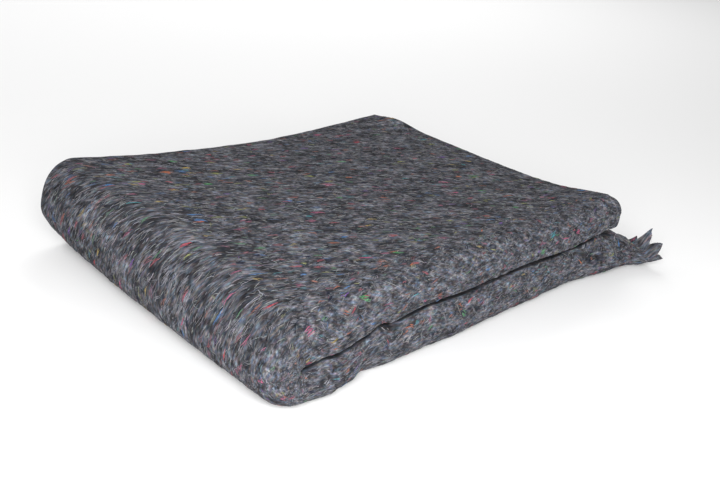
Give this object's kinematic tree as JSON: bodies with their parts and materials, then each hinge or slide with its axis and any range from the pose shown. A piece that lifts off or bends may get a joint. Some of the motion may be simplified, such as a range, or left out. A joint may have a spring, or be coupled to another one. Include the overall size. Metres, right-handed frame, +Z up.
{
  "type": "moving blanket",
  "caption": "Grey recycled felt moving blanket with pinked ends, folded into a thick flat stack with one loose corner.",
  "frame": {"origin": "middle of the bounding box's underside, on the surface the blanket lies on", "axes": "+X towards the open end with the pinked edges, away from the last fold's big roll; +Y from the side with two rolls towards the side with the straight edges; +Z up"},
  "size_m": [0.543, 0.4114, 0.095],
  "materials": {
    "felt": "matt needle-punched felt of mixed grey recycled fibres with coloured flecks"
  },
  "bodies": {
    "root": {"blanket": "felt"}
  },
  "joints": []
}
